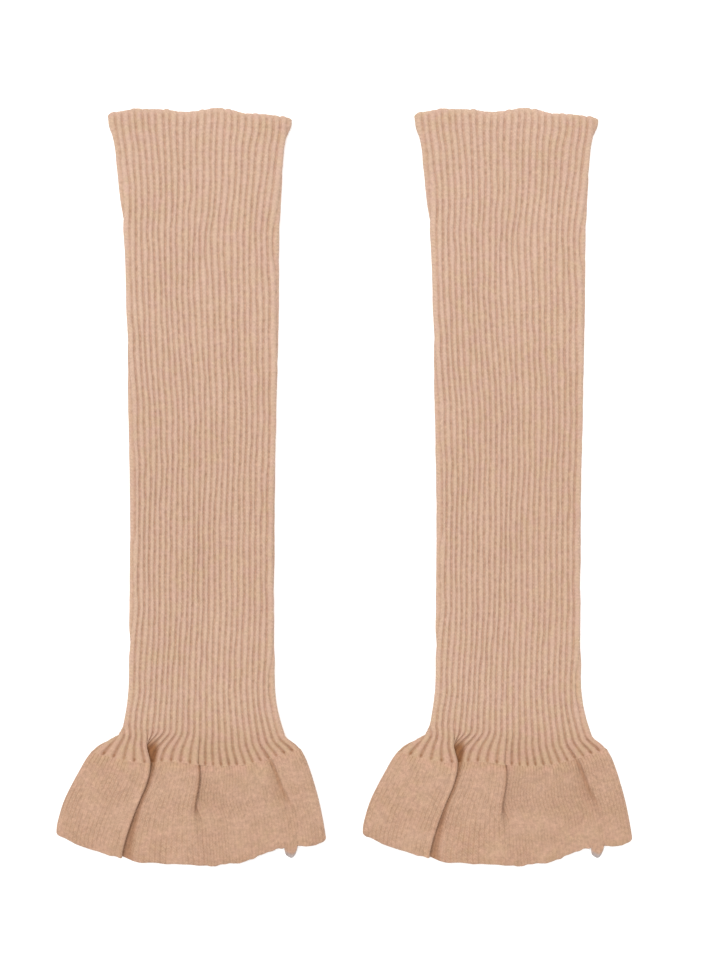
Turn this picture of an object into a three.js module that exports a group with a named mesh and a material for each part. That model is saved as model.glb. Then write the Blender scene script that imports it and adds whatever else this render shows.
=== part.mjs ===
// A pair of ribbed knit leg warmers with ruffled hems, laid flat side by side.
// Millimetres. X runs across the legs, Y up towards the cuffs, and the cloth rests on Z = 0.
// Each leg warmer is a tube of ribbed knit and, 0.3 mm below it, a wider tube of plain knit: the ruffle.
import * as THREE from "three";

// Driving sizes
const LENGTH = 400; // from the highest point of the cuff's edge to the lowest point of the hem
const PAIR_SPACING = 161.8; // from one leg warmer's centre line to the other's
const SEAM_GAP = 0.3; // between the ribbed tube and the ruffle

// Grooves between the ribs have whole numbers round the tube: groove 1 is the first on the front at the left,
// groove 13 is in the middle and groove 25 the last on the front at the right.
const RIBS_ROUND = 50;
const MIDDLE_GROOVE = 13;
const RIB_GROOVE = 0.14; // half the groove's share of a rib's pitch
const RIB_CREST = 0.3; // where the crest begins, as a share of the pitch from the groove

// Walls: each has a plain sheet and, on the ribbed knit, ribs raised from its outside.
// backing: space between the back panel and cloth folded down onto it; turnRadius: of a pleat's folds
const RIBBED = { sheet: 1.4, relief: 1.0, backing: 0.35, turnRadius: 1.2 };
const PLAIN = { sheet: 1.6, relief: 0, backing: 1.0, turnRadius: 1.2 };
const EDGE_THICKNESS = 0.6; // share of the sheet left at a rounded edge
const TUCKED_RELIEF = 0.15; // share of the ribs' height left inside a fold
const RIB_IN_TUCK = 3.5; // pitch of the ribs inside the large pleat

// One row for each ring of the ribbed tube, from the cuff to the seam with the ruffle.
// down: of the left side fold, below the cuff's highest point; left, right: the two silhouettes
// tilt: how much lower the right side is; hang: how far the middle hangs below the sides
// front: height of the front wall; leftRib, rightRib: the count at the side folds; middle: groove 13
// tuckFrom, tuckTo: the ribs that the large pleat takes in; edge: its visible edge; turn: its turn in degrees
const TUBE_COLUMNS = [
  "down", "left", "right", "tilt", "hang", "front",
  "leftRib", "middle", "rightRib", "tuckFrom", "tuckTo", "edge", "turn",
];
const TUBE_ROWS = [
  [3.2, -43.9, 52.9, 2.2, -3.6, 4.3, -0.9, 7.5, 25.4, 0, 0, 0, 0],
  [4.4, -44.4, 53.3, 2.0, -3.2, 4.3, -0.9, 7.5, 25.4, 0, 0, 0, 0],
  [17, -41.2, 50.2, 1.2, -1.4, 4.1, -0.4, 7.0, 24.9, 0, 0, 0, 0],
  [38, -38.6, 48.5, 0, 0, 4.0, -0.4, 6.6, 25.1, 0, 0, 0, 0],
  [70, -35.4, 46.5, 0, 0, 4.0, 0.2, 5.0, 25.5, 0, 0, 0, 0],
  [112, -34.2, 46.4, 0, 0, 4.2, 0.2, 5.5, 25.2, 0, 0, 0, 0],
  [165, -33.1, 45.4, 0, 0, 4.1, -0.6, 8.1, 25.0, 0, 0, 0, 0],
  [215, -32.3, 44.5, 0, 0, 4.3, -0.5, 7.1, 25.1, 0, 0, 0, 0],
  [265, -32.7, 44.3, 0, 0, 4.1, -0.4, 6.5, 25.1, 0, 0, 0, 0],
  [302, -33.1, 44.2, 0, 0, 4.1, 0.2, 5.5, 25.6, 0, 0, 0, 0],
  [316, -34.1, 45.5, 0, 0.6, 4.1, 0.4, 5.4, 25.7, 0, 0, 0, 0],
  [324.5, -36.0, 47.5, 0, 1.6, 4.1, 0.2, 5.2, 25.7, 0, 0, 0, 0],
  [329.5, -38.3, 49.7, 0, 2.8, 4.2, -0.5, 5.0, 25.7, 0, 0, 0, 0],
  [331.4, -40.8, 50.9, 0, 3.6, 4.2, -1.2, 4.8, 25.6, 5.6, 6.6, -18.4, 28],
  [333.2, -44.0, 52.5, 0, 4.6, 4.2, -1.8, 4.7, 25.5, 5.0, 6.9, -20.2, 85],
  [335.1, -47.4, 54.9, 0, 5.6, 4.1, -2.2, 4.6, 25.4, 4.4, 7.0, -22.2, 145],
  [337.1, -50.4, 57.1, 0, 6.7, 4.0, -2.3, 4.6, 25.4, 4.0, 7.0, -22.8, 163],
  [339.2, -52.5, 58.6, 0, 7.6, 4.0, -2.4, 4.6, 25.3, 3.8, 7.0, -21.0, 172],
];

// One row for each ring of the ruffle, from the seam to the hem.
// edge, turn, cloth, radius: the large pleat's visible edge, turn, cloth taken in and fold radius
// shortEdge, shortTurn: the same for the short pleat beside it
const RUFFLE_COLUMNS = [
  "down", "left", "right", "tilt", "hang", "front",
  "edge", "turn", "cloth", "radius", "shortEdge", "shortTurn",
];
const RUFFLE_ROWS = [
  [339.2, -52.5, 58.6, 0, 7.6, 4.6, -21.0, 172, 11.4, 1.2, 4.6, 95],
  [343, -55.3, 60.7, 0.1, 8.1, 4.7, -21.5, 174, 13.5, 1.2, 5.0, 130],
  [349, -58.9, 63.3, 0.4, 9.0, 4.7, -23.3, 175, 16, 1.25, 4.3, 140],
  [357, -63.3, 65.8, 0.9, 10.3, 4.7, -26.8, 175, 18.5, 1.3, 2.6, 104],
  [365.5, -67.1, 68.1, 1.5, 11.6, 4.6, -30.3, 175, 20.5, 1.35, 2.4, 34],
  [373.5, -69.7, 69.8, 2.2, 12.7, 4.5, -33.2, 175, 22, 1.4, 3.4, 22],
  [380, -71.1, 70.9, 2.8, 13.5, 4.4, -35.2, 175, 23, 1.45, 4.0, 15],
  [382.8, -71.2, 71.2, 3.0, 13.7, 4.3, -35.8, 175, 23, 1.45, 4.2, 13],
  [384.1, -70.6, 70.6, 3.2, 13.8, 4.2, -35.9, 175, 23, 1.45, 4.3, 12],
];
const RUFFLE_RIBS = { left: -2.4, right: 25.3 }; // the count at the ruffle's side folds
const LARGE_PLEAT = { from: 3.8, to: 7.0 };
const SHORT_PLEAT = { from: 12.7, to: 13.4, cloth: 7.5, radius: 0.98 };

// Waves of an edge at a place across: it hangs lower by drop, over that spread to each side
const CUFF_WAVES = [
  { place: -30, drop: -1.2, spread: 18 },
  { place: -2, drop: 1.5, spread: 13 },
  { place: 15.5, drop: -1.0, spread: 11 },
  { place: 30, drop: 0.5, spread: 9 },
];
const SEAM_WAVES = [
  { place: -8.4, drop: -2.0, spread: 20 },
  { place: 26, drop: 0.8, spread: 20 },
];
const HEM_WAVES = [
  { place: -28, drop: 1.1, spread: 10 },
  { place: 9, drop: 0.5, spread: 12 },
  { place: 46.5, drop: -3.7, spread: 24 },
];
// How far from its edge each table of waves still shows
const WAVE_REACH = { cuff: 34, seam: 16, hem: 34 };

// Swells and troughs of the front wall, from their rib and lift at the seam to those at the hem
const RUFFLE_SWELLS = [
  { ribs: [0.4, 0.6], lifts: [0.2, 1.0], spread: 3 },
  { ribs: [9.6, 9.8], lifts: [0.1, 0.8], spread: 2.6 },
  { ribs: [17.2, 17.2], lifts: [0.5, 1.8], spread: 3.8 },
  { ribs: [21.3, 22.7], lifts: [-1.3, -0.5], spread: 0.9 },
  { ribs: [23.6, 23.9], lifts: [0.3, 1.0], spread: 1.4 },
];
// The rounded tip of a tuck in the back of the ruffle, which reaches out from under the hem
const TUCK_TIP = { rib: 28.1, drop: 6.4, spread: 0.62 };

const KNIT_COLOUR = 0xcfa588;

const radians = THREE.MathUtils.degToRad;
const smooth = (share) => share * share * (3 - 2 * share);

/** Height of a round bump, 1 at its middle and 0 beyond its spread. */
function bump(away, spread) {
  const share = Math.abs(away) / spread;
  return share < 1 ? (1 + Math.cos(Math.PI * share)) / 2 : 0;
}

const wavesAt = (table, x) => table.reduce((sum, { place, drop, spread }) => sum + drop * bump(x - place, spread), 0);

/** Lift of the front wall at a rib, for a share of the way from the seam to the hem. */
const swellsAt = (table, rib, share) =>
  table.reduce((sum, { ribs, lifts, spread }) => {
    const middle = THREE.MathUtils.lerp(...ribs, share);
    return sum + THREE.MathUtils.lerp(...lifts, share) * bump(rib - middle, spread);
  }, 0);

/** A line across the cloth in the XZ plane, walked piece by piece, that can be read at any distance. */
class Section {
  constructor(x, z, heading) {
    this.end = { x, z, heading };
    this.length = 0;
    this.pieces = [];
  }

  add(length, at) {
    const piece = { start: this.length, length, at };
    this.pieces.push(piece);
    this.length += length;
    this.end = at(length);
    return this;
  }

  /** Turns by an angle, positive to the left, on a circle. */
  arc(radius, turn) {
    const { x, z, heading } = this.end;
    const side = Math.sign(turn) || 1;
    return this.add(radius * Math.abs(turn), (s) => {
      const now = heading + (side * s) / radius;
      return {
        x: x + side * radius * (Math.sin(now) - Math.sin(heading)),
        z: z - side * radius * (Math.cos(now) - Math.cos(heading)),
        heading: now,
      };
    });
  }

  line(length) {
    const { x, z, heading } = this.end;
    return this.add(length, (s) => ({
      x: x + s * Math.cos(heading),
      z: z + s * Math.sin(heading),
      heading,
    }));
  }

  /** Goes to another point with a level start and a level end. */
  ease(toX, toZ) {
    const { x, z } = this.end;
    const run = toX - x;
    return this.add(run, (s) => ({
      x: x + s,
      z: z + (toZ - z) * smooth(run > 0 ? s / run : 1),
      heading: 0,
    }));
  }

  at(distance) {
    const within = this.pieces.find((p) => distance < p.start + p.length) ?? this.pieces.at(-1);
    return within.at(Math.min(distance - within.start, within.length));
  }
}

/** An S-shaped pleat: its turn, its straight run, how far it leads down and how far its edge overhangs. */
function pleatShape({ radius, turn, cloth }, wall) {
  const angle = Math.min(radians(turn), cloth / (2 * radius));
  const run = cloth - 2 * radius * angle;
  const outside = radius + wall.sheet / 2 + TUCKED_RELIEF * wall.relief;
  return {
    angle,
    run,
    drop: 2 * radius * (1 - Math.cos(angle)) + run * Math.sin(angle),
    overhang: outside * Math.sin(Math.min(angle, Math.PI / 2)),
  };
}

/** Outside of a wall, from its middle: plain under the garment, ribbed above and at the sides. */
function outerOffset(wall, rib, up, taken) {
  const fromGroove = Math.abs(rib - Math.round(rib));
  const rise = THREE.MathUtils.clamp((fromGroove - RIB_GROOVE) / (RIB_CREST - RIB_GROOVE), 0, 1);
  const shown = THREE.MathUtils.clamp((up + 0.8) / 0.4, 0, 1);
  const ribbed = 1 - shown * (1 - smooth(rise));
  return wall.sheet / 2 + wall.relief * (taken ? TUCKED_RELIEF : ribbed);
}

/**
 * The closed middle line of one ring, with the ribs' count knotted to distances along it.
 * It starts at the left side fold, goes over the front to the right and back along the underside.
 */
function ringSection(row, wall, pleats) {
  const outside = wall.sheet / 2 + wall.relief;
  const sideRadius = (row.front - outside) / 2;
  const left = row.left + outside;
  const right = row.right - outside;
  const floor = outside + wall.sheet + wall.backing;
  const section = new Section(left, outside + sideRadius, Math.PI / 2);
  const knots = [[row.leftRib, 0]];
  section.arc(sideRadius, -Math.PI / 2);
  for (const pleat of pleats) {
    const shape = pleatShape(pleat, wall);
    section.ease(pleat.edge - shape.overhang, Math.min(floor, row.front) + shape.drop);
    knots.push([pleat.from, section.length]);
    section.arc(pleat.radius, -shape.angle).line(shape.run).arc(pleat.radius, shape.angle);
    knots.push([pleat.to, section.length]);
  }
  if (row.middle !== undefined) {
    section.ease(row.middle, row.front);
    knots.push([MIDDLE_GROOVE, section.length]);
  }
  section.ease(right - sideRadius, row.front).arc(sideRadius, -Math.PI / 2);
  knots.push([row.rightRib, section.length]);
  section.arc(sideRadius, -Math.PI / 2).line(right - left - 2 * sideRadius).arc(sideRadius, -Math.PI / 2);
  knots.push([row.leftRib + RIBS_ROUND, section.length]);
  return { section, knots };
}

/** The same place in the count, from the ring's left side fold on. */
const wrapRib = (rib, row) => row.leftRib + THREE.MathUtils.euclideanModulo(rib - row.leftRib, RIBS_ROUND);

/** Distance along a ring at a rib of the count. */
function distanceAt(knots, rib) {
  const next = Math.max(1, knots.findIndex(([knot]) => knot > rib));
  const [rib0, distance0] = knots[next - 1];
  const [rib1, distance1] = knots[next];
  return distance0 + ((distance1 - distance0) * (rib - rib0)) / (rib1 - rib0);
}

/** How far a point of a ring lies below the cuff's highest point. */
function downAt(row, x, onFront, tip) {
  const across = (2 * x - row.left - row.right) / (row.right - row.left);
  const seamAway = Math.abs(row.down - TUBE_ROWS.at(-1)[0]) / WAVE_REACH.seam;
  const cuffAway = row.down / WAVE_REACH.cuff;
  const hemAway = (RUFFLE_ROWS.at(-1)[0] - row.down) / WAVE_REACH.hem;
  return (
    row.down +
    (row.tilt * (across + 1)) / 2 +
    row.hang * (1 - across * across) +
    (onFront ? wavesAt(SEAM_WAVES, x) * bump(seamAway, 1) : 0) +
    wavesAt(CUFF_WAVES, x) * bump(cuffAway, 1) +
    wavesAt(HEM_WAVES, x) * bump(hemAway, 1) +
    tip
  );
}

/** Points of one ring of a wall at the given ribs: the outside, or the inside. */
function ringPoints(row, wall, pleats, ribs, outer, edgeShare) {
  const { section, knots } = ringSection(row, wall, pleats);
  const swellShare = (row.down - RUFFLE_ROWS[0][0]) / (RUFFLE_ROWS.at(-1)[0] - RUFFLE_ROWS[0][0]);
  const lifted = (rib) => {
    const wrapped = wrapRib(rib, row);
    const point = section.at(distanceAt(knots, wrapped));
    const onFront = wrapped < row.rightRib;
    const lift = row.swells && onFront ? swellsAt(row.swells, wrapped, swellShare) : 0;
    return { x: point.x, z: point.z + lift, wrapped, onFront };
  };
  const step = 0.02;
  return ribs.map((rib) => {
    const here = lifted(rib);
    const before = lifted(rib - step);
    const after = lifted(rib + step);
    const along = new THREE.Vector2(after.x - before.x, after.z - before.z).normalize();
    const taken = row.turn > 60 && here.wrapped > row.tuckFrom + 0.3 && here.wrapped < row.tuckTo - 0.2;
    const resting = along.x < -0.999 && !here.onFront;
    const distance = outer
      ? outerOffset(wall, here.wrapped, along.x, taken) * (resting ? 1 : edgeShare)
      : (-wall.sheet / 2) * edgeShare;
    const x = here.x - along.y * distance;
    const tipAway = (here.wrapped - TUCK_TIP.rib) / TUCK_TIP.spread;
    const tip = row.tip && Math.abs(tipAway) < 1 ? TUCK_TIP.drop * Math.sqrt(1 - tipAway ** 2) : 0;
    return new THREE.Vector3(x, LENGTH / 2 - downAt(row, x, here.onFront, tip), here.z + along.x * distance);
  });
}

/** A closed band of triangles between two rings of points whose ribs are known, as an edge of the wall. */
function stitchEdge(outer, inner, outerRibs, innerRibs, facingUp, addFace) {
  const middleOf = (ribs, i) => (ribs[i] + (ribs[i + 1] ?? ribs[0] + RIBS_ROUND)) / 2;
  let i = 0;
  let k = 0;
  while (i < outerRibs.length || k < innerRibs.length) {
    const outerFirst =
      k === innerRibs.length || (i < outerRibs.length && middleOf(outerRibs, i) <= middleOf(innerRibs, k));
    const o = outer[i % outer.length];
    const n = inner[k % inner.length];
    if (outerFirst) {
      i += 1;
      addFace(o, outer[i % outer.length], n, !facingUp);
    } else {
      k += 1;
      addFace(o, inner[k % inner.length], n, !facingUp);
    }
  }
}

/** A wall of cloth from rings of outer and inner points, closed at both edges. */
function clothWall(rings, outerRibs, innerRibs) {
  const positions = [];
  const index = [];
  const number = (points) =>
    points.map((p) => {
      positions.push(p.x, p.y, p.z);
      return positions.length / 3 - 1;
    });
  const addFace = (a, b, c, flip) => index.push(...(flip ? [a, c, b] : [a, b, c]));
  const outer = rings.map((ring) => number(ring.outer));
  const inner = rings.map((ring) => number(ring.inner));
  const addBands = (grid, flip) => {
    for (let r = 0; r + 1 < grid.length; r++) {
      const count = grid[r].length;
      for (let s = 0; s < count; s++) {
        const t = (s + 1) % count;
        addFace(grid[r][s], grid[r + 1][s], grid[r][t], flip);
        addFace(grid[r][t], grid[r + 1][s], grid[r + 1][t], flip);
      }
    }
  };
  addBands(outer, false);
  addBands(inner, true);
  stitchEdge(outer[0], inner[0], outerRibs, innerRibs, true, addFace);
  stitchEdge(outer.at(-1), inner.at(-1), outerRibs, innerRibs, false, addFace);
  const geometry = new THREE.BufferGeometry();
  geometry.setAttribute("position", new THREE.Float32BufferAttribute(positions, 3));
  geometry.setIndex(index);
  geometry.computeVertexNormals();
  return geometry;
}

const readRows = (columns, rows) =>
  rows.map((values) => Object.fromEntries(columns.map((name, i) => [name, values[i]])));

/** Evenly spaced ribs of the count from one to another, without the last. */
const ribsBetween = (from, to, count) =>
  Array.from({ length: count }, (_, i) => from + ((to - from) * i) / count);

function ribbedTube() {
  const ribbedFrom = -4;
  const ribbedTo = 26;
  const outerRibs = [];
  for (let rib = ribbedFrom; rib < ribbedTo; rib++) {
    outerRibs.push(rib, rib + RIB_CREST, rib + 1 - RIB_CREST);
  }
  outerRibs.push(...ribsBetween(ribbedTo, ribbedFrom + RIBS_ROUND, 10));
  const innerRibs = [
    ...ribsBetween(ribbedFrom, 3, 7),
    ...ribsBetween(3, 7.5, 14),
    ...ribsBetween(7.5, 23.5, 16),
    ...ribsBetween(23.5, 26.5, 5),
    ...ribsBetween(26.5, ribbedFrom + RIBS_ROUND, 10),
  ];
  const rings = readRows(TUBE_COLUMNS, TUBE_ROWS).map((row, r) => {
    const { tuckFrom: from, tuckTo: to, edge, turn } = row;
    const cloth = (to - from) * RIB_IN_TUCK;
    const pleats = turn > 0 ? [{ from, to, edge, turn, cloth, radius: RIBBED.turnRadius }] : [];
    const edgeShare = r === 0 ? EDGE_THICKNESS : 1;
    const points = (ribs, outer) => ringPoints(row, RIBBED, pleats, ribs, outer, edgeShare);
    return { outer: points(outerRibs, true), inner: points(innerRibs, false) };
  });
  return clothWall(rings, outerRibs, innerRibs);
}

function ruffle() {
  const { left, right } = RUFFLE_RIBS;
  const tipFrom = TUCK_TIP.rib - TUCK_TIP.spread;
  const tipTo = TUCK_TIP.rib + TUCK_TIP.spread;
  const around = left + RIBS_ROUND;
  const ribs = [
    ...ribsBetween(left, left + 0.9, 3),
    ...ribsBetween(left + 0.9, LARGE_PLEAT.from, 6),
    ...ribsBetween(LARGE_PLEAT.from, LARGE_PLEAT.to, 14),
    ...ribsBetween(LARGE_PLEAT.to, SHORT_PLEAT.from, 6),
    ...ribsBetween(SHORT_PLEAT.from, SHORT_PLEAT.to, 8),
    ...ribsBetween(SHORT_PLEAT.to, right - 0.6, 13),
    ...ribsBetween(right - 0.6, right + 0.6, 4),
    ...ribsBetween(right + 0.6, tipFrom, 2),
    ...ribsBetween(tipFrom, tipTo, 7),
    ...ribsBetween(tipTo, around - 0.9, 10),
    ...ribsBetween(around - 0.9, around, 3),
  ];
  const rows = readRows(RUFFLE_COLUMNS, RUFFLE_ROWS);
  const rings = rows.map((row, r) => {
    const { edge, turn, cloth, radius } = row;
    const pleats = [
      { ...LARGE_PLEAT, edge, turn, cloth, radius },
      { ...SHORT_PLEAT, edge: row.shortEdge, turn: row.shortTurn },
    ];
    const last = r === rows.length - 1;
    const full = {
      ...row,
      down: row.down + (r === 0 ? SEAM_GAP : 0),
      leftRib: left,
      rightRib: right,
      swells: RUFFLE_SWELLS,
      tip: last,
    };
    const points = (outer) => ringPoints(full, PLAIN, pleats, ribs, outer, last ? EDGE_THICKNESS : 1);
    return { outer: points(true), inner: points(false) };
  });
  return clothWall(rings, ribs, ribs);
}

const material = new THREE.MeshStandardMaterial({ color: KNIT_COLOUR, roughness: 0.95, metalness: 0 });

/** One leg warmer: its ribbed tube and its ruffle, lying at x. */
function legWarmer(side, x) {
  const group = new THREE.Group();
  const pieces = { leg_tube: ribbedTube(), ruffle: ruffle() };
  for (const [name, geometry] of Object.entries(pieces)) {
    const mesh = new THREE.Mesh(geometry, material.clone());
    mesh.name = `${side}_${name}`;
    group.add(mesh);
  }
  group.position.x = x;
  return group;
}

const pair = new THREE.Group();
pair.add(legWarmer("left", -PAIR_SPACING / 2), legWarmer("right", PAIR_SPACING / 2));
export default pair;
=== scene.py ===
"""The looks of a pair of ribbed knit leg warmers with ruffled hems, laid flat, in the CAD model's frame.

Sizes are in millimetres, apart from those of the materials, floor, light and camera, which are in metres.
"""
import math

import bpy
import numpy as np
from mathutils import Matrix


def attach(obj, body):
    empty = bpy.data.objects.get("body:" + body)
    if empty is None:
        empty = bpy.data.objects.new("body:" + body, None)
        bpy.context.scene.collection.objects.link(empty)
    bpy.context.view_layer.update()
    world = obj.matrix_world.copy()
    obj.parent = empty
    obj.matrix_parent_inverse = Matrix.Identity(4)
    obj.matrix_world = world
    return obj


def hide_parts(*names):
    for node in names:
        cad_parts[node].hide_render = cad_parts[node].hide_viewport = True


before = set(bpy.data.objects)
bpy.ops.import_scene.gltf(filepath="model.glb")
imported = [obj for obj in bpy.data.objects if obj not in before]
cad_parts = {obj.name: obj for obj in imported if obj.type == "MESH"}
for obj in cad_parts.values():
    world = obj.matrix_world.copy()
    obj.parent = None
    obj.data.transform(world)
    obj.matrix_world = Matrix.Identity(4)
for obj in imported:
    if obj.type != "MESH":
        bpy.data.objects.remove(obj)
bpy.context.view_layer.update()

MM = 0.001

# Driving sizes, in millimetres, as in the CAD model
LENGTH = 400.0
PAIR_SPACING = 161.8
RIBS_ROUND = 50
MIDDLE_GROOVE = 13

# Walls: thickness of the plain sheet, height of the ribs on it, space under folded cloth
RIBBED = {"sheet": 1.4, "relief": 1.0, "backing": 0.35}
PLAIN = {"sheet": 1.2, "relief": 0.0, "backing": 1.0}
TUCKED_RELIEF = 0.3  # share of the ribs' height left inside a fold
FLAT_TURN = 60.0  # degrees of turn from which a pleat lies down on the back panel

# Rings of the ribbed tube, from the cuff to the seam with the ruffle. Each has its place down, its left and
# right edge, how much lower the right edge lies, how far the middle hangs, and the height of the front
# cloth's middle line. Then come the rib at the left edge, where the middle groove lies, and the rib at the
# right edge.
TUBE_COLUMNS = ("down", "left", "right", "tilt", "hang", "front", "left_rib", "middle", "right_rib")
TUBE_ROWS = (
    (3.2, -43.9, 52.9, 2.2, -3.6, 4.3, -0.9, 7.5, 25.4),
    (4.4, -44.4, 53.3, 2.0, -3.2, 4.3, -0.9, 7.5, 25.4),
    (17, -41.2, 50.2, 1.2, -1.4, 4.1, -0.4, 7.0, 24.9),
    (38, -38.6, 48.5, 0, 0, 4.0, -0.4, 6.6, 25.1),
    (70, -35.4, 46.5, 0, 0, 4.0, 0.2, 5.0, 25.5),
    (112, -34.2, 46.4, 0, 0, 4.2, 0.2, 5.5, 25.2),
    (165, -33.1, 45.4, 0, 0, 4.1, -0.6, 8.1, 25.0),
    (215, -32.3, 44.5, 0, 0, 4.3, -0.5, 7.1, 25.1),
    (265, -32.7, 44.3, 0, 0, 4.1, -0.4, 6.5, 25.1),
    (302, -33.1, 44.2, 0, 0, 4.1, 0.2, 5.5, 25.6),
    (316, -34.1, 45.5, 0, 0.6, 4.1, 0.3, 5.4, 25.7),
    (324.5, -36.0, 47.5, 0, 1.6, 4.1, 0.1, 5.2, 25.7),
    (329.5, -38.2, 49.1, 0, 2.8, 4.2, -0.6, 5.0, 25.7),
    (331.4, -40.6, 49.9, 0, 3.6, 4.2, -1.1, 4.8, 25.75),
    (333.2, -43.8, 51.2, 0, 4.6, 4.2, -1.5, 4.7, 25.85),
    (335.1, -47.1, 53.2, 0, 5.6, 4.1, -1.9, 4.6, 25.95),
    (337.1, -49.9, 55.5, 0, 6.7, 4.0, -2.1, 4.6, 26.05),
    (339.7, -52.7, 58.0, 0, 7.65, 4.0, -2.2, 4.6, 26.1),
)

# Rings of the ruffle, from the seam to the hem. The large pleat has the place of its edge, its turn in
# degrees, the length of its cloth and the radius of its turns. The short pleat keeps one radius.
RUFFLE_COLUMNS = (
    "down", "left", "right", "tilt", "hang", "front",
    "edge", "turn", "cloth", "radius", "short_edge", "short_turn", "short_cloth",
)
RUFFLE_ROWS = (
    (339.2, -52.2, 57.6, 0, 7.6, 4.6, -21.0, 172, 11.0, 0.9, 4.6, 95, 2.9),
    (343, -55.1, 60.0, 0.1, 8.1, 4.7, -21.3, 174, 13.0, 0.9, 5.0, 140, 4.6),
    (349, -58.6, 62.7, 0.4, 9.0, 4.7, -23.1, 175, 15.4, 0.95, 4.3, 150, 5.6),
    (357, -63.0, 65.4, 0.9, 10.3, 4.7, -26.9, 175, 17.8, 1.0, 2.6, 90, 6.0),
    (365.5, -67.1, 67.8, 1.5, 11.6, 4.6, -30.7, 175, 19.8, 1.05, 1.6, 25, 6.0),
    (373.5, -69.7, 69.6, 2.2, 12.7, 4.5, -33.6, 175, 21.3, 1.1, 1.9, 22, 6.0),
    (380, -71.1, 70.8, 2.8, 13.5, 4.4, -35.4, 175, 22.2, 1.15, 2.1, 15, 6.0),
    (382.8, -71.2, 71.2, 3.0, 13.7, 4.3, -35.8, 175, 22.2, 1.15, 2.2, 13, 6.0),
    (384.1, -70.6, 70.6, 3.2, 13.8, 4.2, -35.9, 175, 22.2, 1.15, 2.2, 12, 6.0),
)
RUFFLE_RIBS = (-2.2, 26.1)
LARGE_PLEAT = (3.3, 6.5)
SHORT_PLEAT = {"ribs": (12.7, 13.4), "radius": 0.98}
SEAM_LINE = 339.2  # where the waves of the seam are strongest
SEAM_DOWN = TUBE_ROWS[-1][0]
HEM_DOWN = RUFFLE_ROWS[-1][0]

# Waves of the edges: (place across, drop, spread)
CUFF_WAVES = ((-30, -1.2, 18), (-2, 1.5, 13), (15.5, -1.0, 11), (30, 0.5, 9))
SEAM_WAVES = ((-8.4, -2.0, 20), (26, 0.8, 20))  # on the front alone
SHOULDER_WAVES = ((54, -1.3, 16),)
HEM_WAVES = ((-28, 1.1, 10), (9, 0.5, 12), (46.5, -3.7, 24))
WAVE_REACH = {"cuff": 34.0, "seam": 16.0, "hem": 34.0}
# Swells of the ruffle's front: ((rib at the seam, at the hem), (lift at the seam, at the hem), spread)
RUFFLE_SWELLS = (
    ((0.4, 0.6), (0.2, 1.0), 3.0),
    ((9.6, 9.8), (0.1, 0.8), 2.6),
    ((17.5, 17.5), (0.5, 1.8), 3.8),
    ((21.9, 23.3), (-1.3, -0.5), 0.9),
    ((24.2, 24.5), (0.3, 1.0), 1.4),
)

# The shade on the lower cloth beside the large pleat: place down, rib up to which it's full,
# and ribs over which it fades
PLEAT_SHADE = (
    (329.5, 6.0, 0.60), (331.2, 6.7, 0.70), (333.2, 7.35, 0.80), (335.8, 8.0, 0.65), (338.2, 8.22, 0.50),
    (339.7, 8.20, 0.42), (343, 8.34, 0.34), (349, 8.52, 0.30), (357, 8.64, 0.28),
    (365, 8.70, 0.30), (373, 8.73, 0.34), (384.1, 8.72, 0.44),
)
# The shade where the cloth turns in under the large pleat, in quarter turns of its edge
UNDER_PLEAT = {"from": 0.5, "over": 0.6, "shade": 0.68}
# A painted highlight along the outer edge of the large pleat, in quarter turns
PLEAT_EDGE_HIGHLIGHT = {"before": 0.05, "spread": 0.6}
# Painted shade in the open mouth of the large pleat, where it starts out of the ribs
MOUTH = {"rib": 4.7, "ribs": 0.8, "down": 329.8, "reach": 4.5, "shade": 1.2}
# The shade in the short pleat, which fades at a share of the way down the ruffle
SHORT_SHADE = {"ribs": 0.42, "strength": 1.6, "from": 0.33, "over": 0.18, "shade": 0.75}
# A sharp crease that runs out of a groove: ribs at its ends, and the share of the way that it reaches
CREASE = {
    "ribs": (22.0, 23.2), "reach": 0.62, "depth": 0.8, "spread": 0.36,
    "power": 0.6, "above": 1.0, "rise": 4.0, "shade": 0.45,
}
# Painted shade on the cloth at the crease's left, with a short fade at its right
CREASE_SIDE_SHADE = {"ribs": 1.9, "right": 0.25, "shade": 0.3, "down": 354.0, "reach": 15.0}
# The small tip of the front cloth that hangs past the hem
TUCK_TIP = {
    "rib": 22.40, "spread": 0.66, "drop": 5.7, "droop": 1.8, "reach": 4.0,
    "power": 0.55, "eased": 0.1, "eased_spread": 1.7,
}
PALE_END = {"from": 1.3, "over": 0.4, "power": 0.15}

# The ribs' relief: share of its height at the cuff's edge, and the last stretch before the seam
RIB_DEPTH = 0.95  # of the grooves, against the relief of the CAD model's
CUFF_RELIEF = {"share": 0.25, "from": 0.4, "over": 3.0}
SEAM_RELIEF_FADE = 0.7
GROOVE_UNEVEN = 0.22  # share of the grooves' depth that varies
CREST_UNEVEN = 0.10  # how far the ribs' crests rise and fall
PRESSED = {"beside": 0.5, "ribs": 3.0, "strength": 1.7, "early": 2}  # ribs laid flat inside the large pleat
STEADY = {"share": 0.8, "from": 314, "over": 14}  # the ribs stray less near the seam
RIB_BACK = 0.38  # share of a rib's half width that stays at its full height
# Ripples of the ruffle just under the ribs' ends
SEAM_RIPPLE = {"height": 0.22, "over": 4.5, "rise": 0.8, "middle": 0.75}

# Edges of the cloth: how far each rounded edge reaches, and how it wanders
CUFF_EDGE = 1.2
HEM_EDGE = 1.3
RIM_STEPS = 3
THIN = 0.02  # share of the wall left at the very edge
CUFF_WANDER = {"row": 0, "reach": 9.0, "size": 0.36}
CUFF_TEETH = {"reach": 4.0, "size": 0.28}
HEM_WANDER = {"row": 40, "reach": 10.0, "size": 0.5}

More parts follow.
